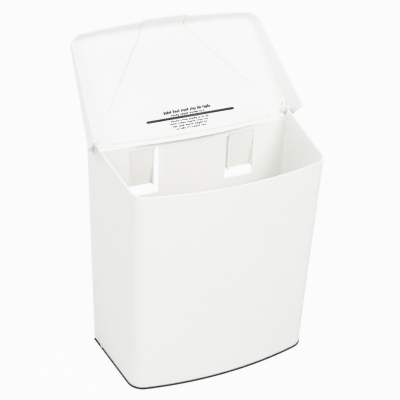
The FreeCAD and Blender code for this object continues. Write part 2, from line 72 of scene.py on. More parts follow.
# ---------------------------------------------------------------- meshes
@dataclass
class Skin:
    """A mesh under construction: vertices in millimetres and faces, with shared points welded later."""

    points: list[Point] = field(default_factory=list)
    faces: list[tuple[int, ...]] = field(default_factory=list)

    def grid(self, rows: np.ndarray, keep: Callable[[int, int], bool] | None = None) -> None:
        """Adds a grid of quads.

        Args:
            rows: an array of shape (rows, columns, 3); a face's normal is along-row x up-row.
            keep: tells for (row, column) of a cell whether it is made.
        """
        count, across, _ = rows.shape
        base = len(self.points)
        self.points.extend(tuple(map(float, p)) for p in rows.reshape(-1, 3))
        for i in range(count - 1):
            for j in range(across - 1):
                if keep is None or keep(i, j):
                    a = base + i * across + j
                    self.faces.append((a, a + 1, a + across + 1, a + across))

    def build(self, name: str, weld: float = 0.02) -> bpy.types.Object:
        """Makes the Blender object, welded and in metres.

        Args:
            name: the piece's name.
            weld: points closer than this, in millimetres, become one.

        Returns:
            The linked object, with smooth faces.
        """
        mesh = bpy.data.meshes.new(name)
        mesh.from_pydata([Vector(p) * MM for p in self.points], [], self.faces)
        work = bmesh.new()
        work.from_mesh(mesh)
        bmesh.ops.remove_doubles(work, verts=work.verts, dist=weld * MM)
        bmesh.ops.dissolve_degenerate(work, edges=work.edges, dist=1e-6)
        loose = [v for v in work.verts if not v.link_faces]
        bmesh.ops.delete(work, geom=loose, context="VERTS")
        for face in work.faces:
            face.smooth = True
        work.to_mesh(mesh)
        work.free()
        piece = bpy.data.objects.new(name, mesh)
        bpy.context.scene.collection.objects.link(piece)
        return piece


def shell(piece: bpy.types.Object, wall: float, edge: float, limit: float = 50.0) -> None:
    """Gives an open skin its wall and rounds the wall's free edges.

    Args:
        piece: the skin, whose normals point out of the wall.
        wall: thickness in millimetres, laid on the side away from the normals.
        edge: radius of the free edges in millimetres.
        limit: edges that turn by more than this many degrees are rounded.
    """
    thick = piece.modifiers.new("wall", "SOLIDIFY")
    thick.thickness = wall * MM
    thick.offset = -1.0
    thick.use_even_offset = True
    soften(piece, edge, limit)


def soften(piece: bpy.types.Object, edge: float, limit: float) -> None:
    """Rounds a piece's sharp edges and keeps its flats flat in shading.

    Args:
        piece: the piece.
        edge: radius in millimetres.
        limit: edges that turn by more than this many degrees are rounded.
    """
    bevel = piece.modifiers.new("edges", "BEVEL")
    bevel.width = edge * MM
    bevel.segments = 3
    bevel.limit_method = "ANGLE"
    bevel.angle_limit = math.radians(limit)
    bevel.use_clamp_overlap = True
    bevel.miter_outer = "MITER_ARC"
    shade = piece.modifiers.new("shading", "WEIGHTED_NORMAL")
    shade.keep_sharp = False
    shade.weight = 60


def prism(name: str, outline: list[tuple[float, float]], low: float, high: float) -> bpy.types.Object:
    """A block with an outline in the (y, z) plane, from x = low to x = high, in millimetres.

    Args:
        name: the piece's name.
        outline: corners in order, counter-clockwise as seen from +x.
        low: first x.
        high: last x.

    Returns:
        The object.
    """
    skin = Skin()
    count = len(outline)
    skin.points = [(low, y, z) for y, z in outline] + [(high, y, z) for y, z in outline]
    skin.faces = [(i, (i + 1) % count, count + (i + 1) % count, count + i) for i in range(count)]
    skin.faces += [tuple(reversed(range(count))), tuple(range(count, 2 * count))]
    return skin.build(name)


def pair(label: str, outline: list[tuple[float, float]], span: tuple[float, float],
         edge: float, limit: float = 30.0) -> list[bpy.types.Object]:
    """Builds a softened block on the right and its mirror image on the left.

    Args:
        label: the pieces' name without its side.
        outline: corners in the (y, z) plane, counter-clockwise as seen from +x.
        span: the right block's first and last x.
        edge: radius of its edges in millimetres.
        limit: edges that turn by more than this many degrees are rounded.

    Returns:
        The objects.
    """
    near, far = span
    pieces = []
    for side, low, high in (("right", near, far), ("left", -far, -near)):
        piece = prism(f"{label}_{side}", outline, low, high)
        soften(piece, edge, limit)
        pieces.append(piece)
    return pieces


@dataclass(frozen=True)
class Outline:
    """Plan outline in millimetres: straight rear, tapering sides, round corners, bowed front."""

    rear: float
    half: float
    taper: float
    corner: float
    bow: float
    reach: float

    def parts(self) -> tuple[float, np.ndarray, float]:
        """Works out where the side, the corner and the bow meet.

        Returns:
            The side's length, the right corner's centre and the angle where the bow ends.
        """
        lean = math.radians(self.taper)
        along = np.array([-math.sin(lean), -math.cos(lean)])
        inward = np.array([-math.cos(lean), math.sin(lean)])
        bow_centre = np.array([0.0, self.bow - self.reach])
        start = np.array([self.half, self.rear]) + inward * self.corner
        off = start - bow_centre
        b = float(off @ along)
        run = -b + math.sqrt(b * b - float(off @ off) + (self.bow - self.corner) ** 2)
        centre = start + along * run
        return run, centre, math.atan2(centre[1] - bow_centre[1], centre[0])

    def right(self, side: list[float], corner: int, front: int) -> tuple[np.ndarray, np.ndarray]:
        """Samples the right half from the rear to the middle of the bow.

        Args:
            side: distances in front of the rear end, as shares of the side's length.
            corner: steps round the corner.
            front: steps along half of the bow.

        Returns:
            Points and outward normals, each of shape (n, 2).
        """
        lean = math.radians(self.taper)
        run, centre, turn = self.parts()
        along = np.array([-math.sin(lean), -math.cos(lean)])
        outward = np.array([math.cos(lean), -math.sin(lean)])
        bow_centre = np.array([0.0, self.bow - self.reach])
        points = [np.array([self.half, self.rear]) + along * run * share for share in side]
        normals = [outward] * len(side)
        for k in range(1, corner + 1):
            angle = -lean + (turn + lean) * k / corner
            normal = np.array([math.cos(angle), math.sin(angle)])
            points.append(centre + normal * self.corner)
            normals.append(normal)
        for k in range(1, front + 1):
            angle = turn + (-math.pi / 2 - turn) * k / front
            normal = np.array([math.cos(angle), math.sin(angle)])
            points.append(bow_centre + normal * self.bow)
            normals.append(normal)
        return np.array(points), np.array(normals)

    def whole(self, side: list[float], corner: int, front: int) -> tuple[np.ndarray, np.ndarray]:
        """Samples the whole outline from the right rear end round to the left rear end.

        Args:
            side: distances in front of the rear end, as shares of the side's length.
            corner: steps round each corner.
            front: steps along half of the bow.

        Returns:
            Points and outward normals, each of shape (n, 2).
        """
        points, normals = self.right(side, corner, front)
        flip = np.array([-1.0, 1.0])
        return (np.vstack([points, (points * flip)[-2::-1]]),
                np.vstack([normals, (normals * flip)[-2::-1]]))


def borders(ring: np.ndarray, corner: int) -> tuple[np.ndarray, np.ndarray, np.ndarray, np.ndarray]:
    """Cuts a ring, open at the rear, into four border curves.

    Args:
        ring: points from the right rear end round to the left rear end, shape (n, 2).
        corner: how many points lie before the middle of the right corner.

    Returns:
        The rear, front, left and right curves, as patch takes them.
    """
    right = ring[:corner + 1]
    left = ring[::-1][:corner + 1]
    front = ring[corner:len(ring) - corner][::-1]
    return np.linspace(left[0], right[0], len(front)), front, left, right


def patch(rear: np.ndarray, front: np.ndarray, left: np.ndarray, right: np.ndarray) -> np.ndarray:
    """Fills four border curves with a smooth grid.

    Args:
        rear: points from left to right, shape (m, 2).
        front: points from left to right, shape (m, 2).
        left: points from rear to front, shape (n, 2).
        right: points from rear to front, shape (n, 2).

    Returns:
        Points of shape (n, m, 2).
    """
    across = np.linspace(0, 1, len(rear))[None, :, None]
    down = np.linspace(0, 1, len(left))[:, None, None]
    ruled = (1 - down) * rear[None] + down * front[None]
    sides = (1 - across) * left[:, None] + across * right[:, None]
    corners = ((1 - down) * ((1 - across) * rear[0] + across * rear[-1])
               + down * ((1 - across) * front[0] + across * front[-1]))
    return ruled + sides - corners


def spread(count: int, first: float = 0.0, last: float = 1.0) -> list[float]:
    """Spaces numbers evenly from the first to the last, both included."""
    return list(np.linspace(first, last, count))


# ---------------------------------------------------------------- finishes
class Nodes:
    """A material's or a group's nodes, with short ways to add to them."""

    def __init__(self, tree: bpy.types.NodeTree) -> None:
        """Takes the tree that the nodes are added to."""
        self.tree = tree

    def add(self, kind: str, **settings: object) -> bpy.types.Node:
        """Adds a node.

        Args:
            kind: the node's type.
            settings: its properties by name.

        Returns:
            The node.
        """
        node = self.tree.nodes.new(kind)
        for key, setting in settings.items():
            setattr(node, key, setting)
        return node

    def feed(self, socket: bpy.types.NodeSocket, source: Source) -> None:
        """Gives an input what feeds it.

        Args:
            socket: the input.
            source: an output to join it to, a plain number or a plain colour.
        """
        if isinstance(source, tuple):
            socket.default_value = (*source, 1.0)
        elif isinstance(source, float):
            socket.default_value = source
        else:
            self.link(source, socket)

    def link(self, start: bpy.types.NodeSocket, end: bpy.types.NodeSocket) -> None:
        """Joins two sockets, the first's value feeding the second."""
        self.tree.links.new(start, end)

    def noise(self, scale: Source, detail: float,
              vector: bpy.types.NodeSocket | None = None) -> bpy.types.NodeSocket:
        """Adds a noise.

        Args:
            scale: its scale, in waves per metre.
            detail: its octaves.
            vector: where it is sampled, or None for object space.

        Returns:
            The noise's value.
        """
        node = self.add("ShaderNodeTexNoise")
        self.feed(node.inputs["Scale"], scale)
        self.feed(node.inputs["Detail"], detail)
        self.link(vector or self.add("ShaderNodeTexCoord").outputs["Object"], node.inputs["Vector"])
        return node.outputs["Fac"]

    def span(self, start: bpy.types.NodeSocket, low: float, high: float,
             to_low: float = 0.0, to_high: float = 1.0) -> bpy.types.NodeSocket:
        """Maps a value from one range to another, clamped.

        Args:
            start: the value.
            low: its first limit.
            high: its last limit.
            to_low: what the first limit becomes.
            to_high: what the last limit becomes.

        Returns:
            The mapped value.
        """
        node = self.add("ShaderNodeMapRange")
        for label, number in (("From Min", low), ("From Max", high), ("To Min", to_low), ("To Max", to_high)):
            node.inputs[label].default_value = number
        self.link(start, node.inputs["Value"])
        return node.outputs["Result"]

    def placed(self, group: bpy.types.NodeTree, **values: float) -> bpy.types.Node:
        """Places a shared group.

        Args:
            group: the group.
            values: its inputs' values, by name with _ for a space.

        Returns:
            The group's node.
        """
        node = self.add("ShaderNodeGroup", node_tree=group)
        for label, number in values.items():
            node.inputs[label.replace("_", " ")].default_value = number
        return node

    def mixed(self, factor: bpy.types.NodeSocket, first: Source, second: Source) -> bpy.types.NodeSocket:
        """Mixes two colours.

        Args:
            factor: how much of the second shows.
            first: an output or a plain colour.
            second: an output or a plain colour.

        Returns:
            The mixed colour.
        """
        node = self.add("ShaderNodeMix", data_type="RGBA")
        self.link(factor, node.inputs["Factor"])
        for label, source in (("A", first), ("B", second)):
            self.feed(next(s for s in node.inputs if s.name == label and s.type == "RGBA"), source)
        return next(s for s in node.outputs if s.type == "RGBA")

    def maths(self, operation: str, *terms: Source) -> bpy.types.NodeSocket:
        """Combines values with a Math node.

        Args:
            operation: what the node does.
            terms: outputs or plain numbers, in order.

        Returns:
            The node's value.
        """
        node = self.add("ShaderNodeMath", operation=operation)
        for i, term in enumerate(terms):
            self.feed(node.inputs[i], term)
        return node.outputs[0]


class Group(Nodes):
    """A shader node group with named sockets."""

    def __init__(self, name: str, inputs: dict[str, float], outputs: tuple[str, ...]) -> None:
        """Starts the group.

        Args:
            name: the group's name.
            inputs: float inputs with their default values.
            outputs: the names of its float outputs.
        """
        super().__init__(bpy.data.node_groups.new(name, "ShaderNodeTree"))
        kind = "NodeSocketFloat"
        for label, default in inputs.items():
            socket = self.tree.interface.new_socket(label, in_out="INPUT", socket_type=kind)
            socket.default_value = default
        for label in outputs:
            self.tree.interface.new_socket(label, in_out="OUTPUT", socket_type=kind)
        self.given = self.add("NodeGroupInput").outputs
        self.result = self.add("NodeGroupOutput").inputs


def grain_group() -> bpy.types.NodeTree:
    """The fine spark-eroded grain of a mould and its slow waviness, as a height in 0 to 1.

    Returns:
        The group.
    """
    group = Group("mould_grain", {"Grain Scale": 1800.0, "Waviness": 0.35}, ("Height",))
    fine = group.noise(group.given["Grain Scale"], 3.0)
    coarse = group.noise(300.0, 2.0)
    slow = group.noise(9.0, 1.0)
    grain = group.maths("ADD", group.maths("MULTIPLY", fine, 0.75), group.maths("MULTIPLY", coarse, 0.25))
    wave = group.maths("MULTIPLY", slow, group.given["Waviness"])
    group.link(group.maths("ADD", grain, wave), group.result["Height"])
    return group.tree


def mottle_group() -> bpy.types.NodeTree:
    """Cloudy flow marks of white plastic, as a mask in 0 to 1.

    Returns:
        The group.
    """
    group = Group("flow_mottle", {"Cloud Scale": 14.0}, ("Mask",))
    cloud = group.noise(group.given["Cloud Scale"], 4.0)
    streak = group.noise(70.0, 3.0)
    both = group.maths("ADD", group.maths("MULTIPLY", cloud, 0.7), group.maths("MULTIPLY", streak, 0.3))
    group.link(group.span(both, 0.35, 0.65), group.result["Mask"])
    return group.tree


def edge_group() -> bpy.types.NodeTree:
    """Rubbed convex edges and painted shade in hollows, from the surface's curvature, broken up by noise.

    Returns:
        The group.
    """
    group = Group("edge_wear_and_hollow_shade", {"Breakup": 60.0}, ("Rub", "Hollow Shade"))
    shape = group.add("ShaderNodeNewGeometry")
    broken = group.span(group.noise(group.given["Breakup"], 4.0), 0.3, 0.7)
    rub = group.span(shape.outputs["Pointiness"], 0.505, 0.56)
    # Painted shade: concave places give the mask that darkens the hollows.
    dust_and_hollow_shade = group.span(shape.outputs["Pointiness"], 0.495, 0.44)
    group.link(group.maths("MULTIPLY", rub, broken), group.result["Rub"])
    group.link(group.maths("MULTIPLY", dust_and_hollow_shade, broken), group.result["Hollow Shade"])
    return group.tree


def scuff_group() -> bpy.types.NodeTree:
    """Short fine handling scuffs, as a mask in 0 to 1.

    Returns:
        The group.
    """
    group = Group("handling_scuffs", {"Density": 0.62}, ("Mask",))
    place = group.add("ShaderNodeTexCoord")
    turn = group.add("ShaderNodeMapping")
    turn.inputs["Scale"].default_value = (40.0, 260.0, 900.0)
    turn.inputs["Rotation"].default_value = (0.3, 0.5, 0.7)
    group.link(place.outputs["Object"], turn.inputs["Vector"])
    lines = group.noise(1.0, 2.0, turn.outputs["Vector"])
    patches = group.span(group.noise(12.0, 2.0), 0.5, 0.7)
    over = group.maths("SUBTRACT", lines, group.given["Density"])
    thin = group.span(over, 0.0, 0.06)
    group.link(group.maths("MULTIPLY", thin, patches), group.result["Mask"])
    return group.tree


@dataclass
class Effects:
    """The node groups that the finishes share."""

    grain: bpy.types.NodeTree = field(default_factory=grain_group)
    mottle: bpy.types.NodeTree = field(default_factory=mottle_group)
    edges: bpy.types.NodeTree = field(default_factory=edge_group)
    scuffs: bpy.types.NodeTree = field(default_factory=scuff_group)


@dataclass(frozen=True)
class MouldedPlastic:
    """A moulded plastic: its two near shades, its gloss and its grain."""

    name: str
    light: Colour
    shade: Colour
    roughness: float
    roughness_spread: float = 0.10
    grain_scale: float = 1800.0
    grain_depth: float = 0.06
    waviness: float = 0.35
    cloud_scale: float = 14.0
    # Darker grey-tan colour: painted shade in the hollows, and dirt in the scuffs.
    dust_and_hollow_shade: Colour = (0.60, 0.58, 0.54)
    hollow_shade_amount: float = 0.10
    rub: Colour = (0.97, 0.97, 0.96)
    scatter: float = 0.06
    scatter_radius: Colour = (1.0, 0.9, 0.8)
    scatter_scale: float = 0.0015
    refraction: float = 1.49
    rub_amount: float = 0.9
    rub_polish: float = 0.12
    scuff_amount: float = 0.10
    grain_distance: float = 0.0004

    def build(self, effects: Effects) -> bpy.types.Material:
        """Makes the material.

        Args:
            effects: the shared node groups.

        Returns:
            The material.
        """
        material = bpy.data.materials.new(self.name)
        material.use_nodes = True
        nodes = Nodes(material.node_tree)
        shader = nodes.tree.nodes["Principled BSDF"]
        for label, setting in (("IOR", self.refraction), ("Subsurface Weight", self.scatter),
                               ("Subsurface Radius", self.scatter_radius),
                               ("Subsurface Scale", self.scatter_scale)):
            shader.inputs[label].default_value = setting
        mottle = nodes.placed(effects.mottle, Cloud_Scale=self.cloud_scale).outputs["Mask"]
        edges = nodes.placed(effects.edges).outputs
        scuffs = nodes.placed(effects.scuffs).outputs["Mask"]
        grain = nodes.placed(effects.grain, Grain_Scale=self.grain_scale, Waviness=self.waviness)
        base = nodes.mixed(mottle, self.light, self.shade)
        # Painted shade: hollows are mixed towards the darker grey-tan colour.
        hollow_shaded = nodes.mixed(nodes.maths("MULTIPLY", edges["Hollow Shade"], self.hollow_shade_amount), base, self.dust_and_hollow_shade)
        rubbed = nodes.mixed(nodes.maths("MULTIPLY", edges["Rub"], self.rub_amount), hollow_shaded, self.rub)
        marked = nodes.mixed(nodes.maths("MULTIPLY", scuffs, self.scuff_amount), rubbed, self.dust_and_hollow_shade)
        rough = nodes.maths("MULTIPLY_ADD", mottle, self.roughness_spread,
                            self.roughness - self.roughness_spread / 2)
        polish = nodes.maths("MULTIPLY", edges["Rub"], self.rub_polish)
        bump = nodes.add("ShaderNodeBump")
        bump.inputs["Strength"].default_value = self.grain_depth
        bump.inputs["Distance"].default_value = self.grain_distance
        nodes.link(grain.outputs["Height"], bump.inputs["Height"])
        nodes.link(marked, shader.inputs["Base Color"])
        nodes.link(nodes.maths("SUBTRACT", rough, polish), shader.inputs["Roughness"])
        nodes.link(bump.outputs["Normal"], shader.inputs["Normal"])
        return material


@dataclass(frozen=True)
class Finishes:
    """The finishes of the bin's pieces."""

    body: MouldedPlastic = MouldedPlastic(
        "white_body_plastic", (0.905, 0.902, 0.885), (0.890, 0.886, 0.866), 0.42)
    lid: MouldedPlastic = MouldedPlastic(
        "white_lid_plastic", (0.905, 0.908, 0.906), (0.890, 0.893, 0.891), 0.38)
    # Painted shade: the crease and lip lines are darker than the lid, so they read as shaded creases.
    line: MouldedPlastic = MouldedPlastic(
        "painted_crease_shade_plastic", (0.66, 0.66, 0.65), (0.58, 0.58, 0.57), 0.45)
    pin: MouldedPlastic = MouldedPlastic(
        "white_pin_plastic", (0.87, 0.87, 0.86), (0.83, 0.83, 0.82), 0.30,
        grain_depth=0.03, waviness=0.1, cloud_scale=90.0)
    ink: MouldedPlastic = MouldedPlastic(
        "grey_marking_ink", (0.030, 0.030, 0.032), (0.050, 0.050, 0.054), 0.60,
        grain_depth=0.1, cloud_scale=300.0, dust_and_hollow_shade=(0.3, 0.3, 0.3), rub=(0.3, 0.3, 0.3), scatter=0.0)


def dress(piece: bpy.types.Object, material: bpy.types.Material, body: Body) -> None:
    """Gives a piece its finish and its body.

    Args:
        piece: the piece, in place.
        material: its finish.
        body: the body it rides on.
    """
    piece.data.materials.clear()
    piece.data.materials.append(material)
    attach(piece, body.value)
    LOG.info("%s: %d faces, rides on %s", piece.name, len(piece.data.polygons), body.value)


# ---------------------------------------------------------------- the bin's body
@dataclass
class BinBody:
    """The open body: bowed front, tapering sides, floor and the rear panel with its hanging pockets."""

    height: float = 298.6
    base: Outline = Outline(60.0, 127.9, 4.3, 21.0, 465.0, 71.1)
    rim: Outline = Outline(60.0, 130.0, 4.3, 15.5, 520.0, 81.2)
    rim_slope: float = 9.8
    rim_ease: float = 0.45
    wall: float = 2.2
    foot_radius: float = 4.5
    foot_angles: tuple[float, ...] = (0.0, 18.0, 36.0, 54.0, 72.0)
    edge: float = 0.85
    panel_front: float = 44.0
    panel_middle: float = 275.69
    panel_crest: float = 5.0
    panel_blend: float = 4.0
    floor_gap: float = 0.4
    panel_low: float = 9.0
    panel_high: float = 274.0
    panel_last: float = 116.0
    panel_edge: float = 0.5
    outer_columns: int = 8
    side_ladder: tuple[float, ...] = (6.0, 4.0, 3.2, 2.4, 1.7, 1.1, 0.6, 0.25, 0.05, -0.6)
    foot_ladder: tuple[float, ...] = (0.8, 1.5, 2.5, 2.9, 3.5, 4.3, 5.2, 6.3)
    window: tuple[float, float, float, float] = (45.0, 83.5, 210.99, 271.99)
    tongue_inner: float = 49.6
    tongue_foot: float = 219.99
    tongue_setback: float = 8.0
    rib_back: float = 57.0
    rib_slant: float = 10.0
    sunk: float = 0.4
    fine_edge: float = 0.4
    ear_half: float = 6.0
    ear_inner: float = 126.34
    ear_outer: float = 129.35
    ear_edge: float = 0.45
    side_steps: int = 26
    corner_steps: int = 14
    front_steps: int = 34
    wall_rows: int = 34

    def at(self, low: np.ndarray, high: np.ndarray, height: np.ndarray) -> np.ndarray:
        """Places the drafted wall's points between the plan at the base and the plan at the rim level."""
        share = (height / self.height)[:, None]
        return np.hstack([low * (1 - share) + high * share, height[:, None]])

    def rim_height(self, low: np.ndarray, high: np.ndarray) -> np.ndarray:
        """Finds where the sloping rim cuts each line of the wall.

        Args:
            low: plan points at the base.
            high: the same at the rim level.

        Returns:
            The heights.
        """
        fall = math.tan(math.radians(self.rim_slope))
        top = self.height - (self.base.rear - low[:, 1]) * fall
        return top / (1 - fall * (high[:, 1] - low[:, 1]) / self.height)

    def outside(self) -> bpy.types.Object:
        """Builds the outer walls and the floor as one skin and thickens it.

        Returns:
            The object.
        """
        side = spread(self.side_steps)
        low, low_normal = self.base.whole(side, self.corner_steps, self.front_steps)
        high, _ = self.rim.whole(side, self.corner_steps, self.front_steps)
        top = self.rim_height(low, high) - self.rim_ease
        radius = self.foot_radius
        rows = []
        for angle in np.radians(self.foot_angles):
            height = np.full(len(low), radius * (1 - math.cos(angle)))
            row = self.at(low, high, height)
            row[:, :2] -= low_normal * radius * (1 - math.sin(angle))
            rows.append(row)
        for share in spread(self.wall_rows):
            rows.append(self.at(low, high, radius + (top - radius) * share))
        skin = Skin()
        skin.grid(np.array(rows)[:, ::-1])
        ring = rows[0][:, :2]
        floor = patch(*borders(ring, self.side_steps - 1 + self.corner_steps // 2))
        flat = np.dstack([floor, np.zeros(floor.shape[:2])])
        skin.grid(flat)
        piece = skin.build("bin_shell")
        shell(piece, self.wall, self.edge)
        return piece

    def half_inside(self, height: np.ndarray) -> np.ndarray:
        """Works out half of the clear width at the rear panel.

        Args:
            height: heights above the floor.

        Returns:
            The half widths.
        """
        lean = math.radians(self.base.taper)
        half = self.base.half + (self.rim.half - self.base.half) * height / self.height
        return half - (self.base.rear - self.panel_front) * math.tan(lean) - self.wall / math.cos(lean)

    def panel_columns(self) -> np.ndarray:
        """Spaces the panel's columns on its right half, from the middle to near the side wall."""
        inner, outer = self.window[:2]
        return np.array(spread(9, 0.0, inner) + spread(7, self.tongue_inner, outer)
                        + spread(self.outer_columns, outer, self.panel_last)[1:])

    def rear_panel(self) -> bpy.types.Object:
        """Builds the rear panel, which flows into the side walls and the floor, with two windows.

        Returns:
            The object.
        """
        inner, _, foot, head = self.window
        columns = self.panel_columns()
        blend = self.panel_blend
        from_side = np.array(self.side_ladder)
        heights = (list(self.foot_ladder) + spread(30, self.panel_low, foot) + [self.tongue_foot]
                   + spread(9, self.tongue_foot, head)[1:] + [self.panel_high])

        def grow(distance: np.ndarray) -> np.ndarray:
            """Says how far the panel curves forward at a distance from a wall."""
            near = np.clip(blend - distance, 0, blend)
            return blend - np.sqrt(blend ** 2 - near ** 2)

        def right_columns(height: float) -> np.ndarray:
            """Places the right half's columns at a height, the last few close to the side wall."""
            clear = float(self.half_inside(np.array([height]))[0])
            return np.concatenate([columns, clear - from_side])

        rows = []
        for height in heights + [-1.0]:
            is_top = height < 0
            across = right_columns(head if is_top else height)
            xs = np.concatenate([-across[:0:-1], across])
            level = np.full(len(xs), height)
            if is_top:
                level = self.panel_middle + self.panel_crest * (xs / self.half_inside(np.array([head]))) ** 2
            clear = self.half_inside(level)
            ys = self.panel_front - grow(clear - np.abs(xs)) - grow(level - self.wall - self.floor_gap)
            rows.append(np.column_stack([xs, ys, level]))
        grid = np.array(rows)
        mid = len(columns) + len(from_side) - 1
        first = mid + int(np.argmin(abs(columns - inner)))
        last = mid + len(columns) - self.outer_columns
        row_foot = int(np.argmin(abs(np.array(heights) - foot)))
        row_head = int(np.argmin(abs(np.array(heights) - head)))

        def solid(i: int, j: int) -> bool:
            """Tells whether the cell in row i, column j is made: the two windows stay open."""
            column = max(j, 2 * mid - 1 - j)
            return not (row_foot <= i < row_head and first <= column < last)

        skin = Skin()
        skin.grid(grid, solid)
        piece = skin.build("bin_rear_panel")
        shell(piece, self.wall, self.panel_edge, 60.0)
        return piece

    def tongues(self) -> list[bpy.types.Object]:
        """Builds the two sloping tongues in the windows, each with its cheek and its rib.

        Returns:
            The objects.
        """
        _, outer, _, head = self.window
        foot = self.tongue_foot
        front = self.panel_front
        back = front + self.wall
        setback = self.tongue_setback
        sunk = self.sunk
        tongue = [(front, head + 2 * sunk), (front, head), (front + setback, foot), (back + setback, foot),
                  (back, head + 2 * sunk)]
        cheek = [(back - sunk, foot), (back + setback - sunk / 2, foot), (back - sunk / 4, head + sunk)]
        rib = [(back - sunk, foot + sunk / 4), (self.rib_back, foot + sunk / 4),
               (self.rib_back, head - self.rib_slant), (back - sunk, head)]
        plates = (("bin_tongue", tongue, (self.tongue_inner, outer + sunk)),
                  ("bin_cheek", cheek, (outer, outer + self.wall)),
                  ("bin_rib", rib, (self.tongue_inner + sunk / 4, self.tongue_inner + self.wall)))
        return [piece for label, outline, span in plates
                for piece in pair(label, outline[::-1], span, self.fine_edge)]

    def ears(self) -> list[bpy.types.Object]:
        """Builds the two flat ears in the side walls that hold the hinge pins.

        Returns:
            The objects.
        """
        fall = math.tan(math.radians(self.rim_slope))
        half = self.ear_half
        setback = self.base.rear - HINGE_Y
        outline = [(HINGE_Y - half, HINGE_Z - half), (HINGE_Y + half, HINGE_Z - half),
                   (HINGE_Y + half, self.height - (setback - half) * fall),
                   (HINGE_Y - half, self.height - (setback + half) * fall)]
        return pair("bin_ear", outline, (self.ear_inner, self.ear_outer), self.ear_edge, 40.0)

    def build(self, material: bpy.types.Material) -> None:
        """Builds and dresses the body's pieces, which stand for the CAD body.

        Args:
            material: the body's plastic.
        """
        for piece in [self.outside(), self.rear_panel(), *self.tongues(), *self.ears()]:
            dress(piece, material, Body.BIN)
            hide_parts("bin_body")


